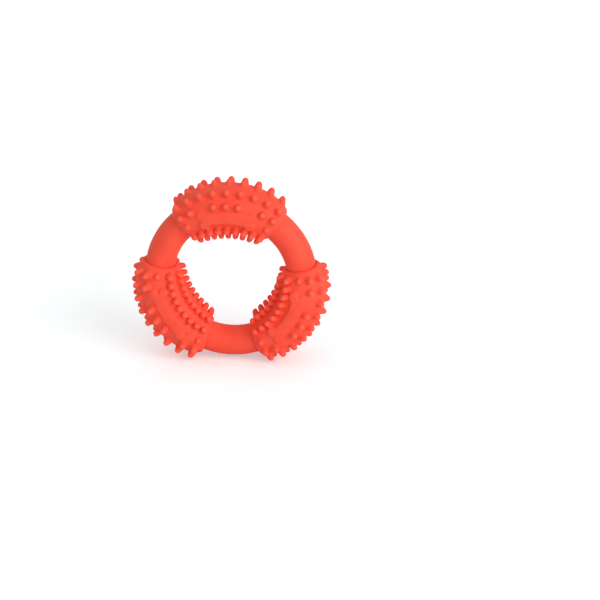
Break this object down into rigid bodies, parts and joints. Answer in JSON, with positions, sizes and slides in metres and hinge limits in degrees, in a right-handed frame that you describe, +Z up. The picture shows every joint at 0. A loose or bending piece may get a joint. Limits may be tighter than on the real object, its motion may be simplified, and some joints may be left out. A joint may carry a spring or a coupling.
{
  "type": "spiked dog ring toy",
  "caption": "Rubber dog chew ring: a smooth round ring with barrel-shaped spiked grip sleeves and raised bone-shaped pads on both faces.",
  "frame": {"origin": "on the floor, under the middle of the ring, which stands upright on its two lower sleeves", "axes": "+Y along the ring's axis towards the back, so the front faces -Y, +X to the right and +Z up through the top sleeve"},
  "size_m": [0.1212, 0.0378, 0.1153],
  "materials": {
    "ring_rubber": "smooth matte moulded natural rubber, coral red",
    "sleeve_rubber": "matte moulded natural rubber with a fine eroded texture, coral red"
  },
  "bodies": {
    "root": {"core_ring": "ring_rubber", "grip_sleeve_top": "sleeve_rubber", "grip_sleeve_right": "sleeve_rubber", "grip_sleeve_left": "sleeve_rubber"}
  },
  "joints": []
}
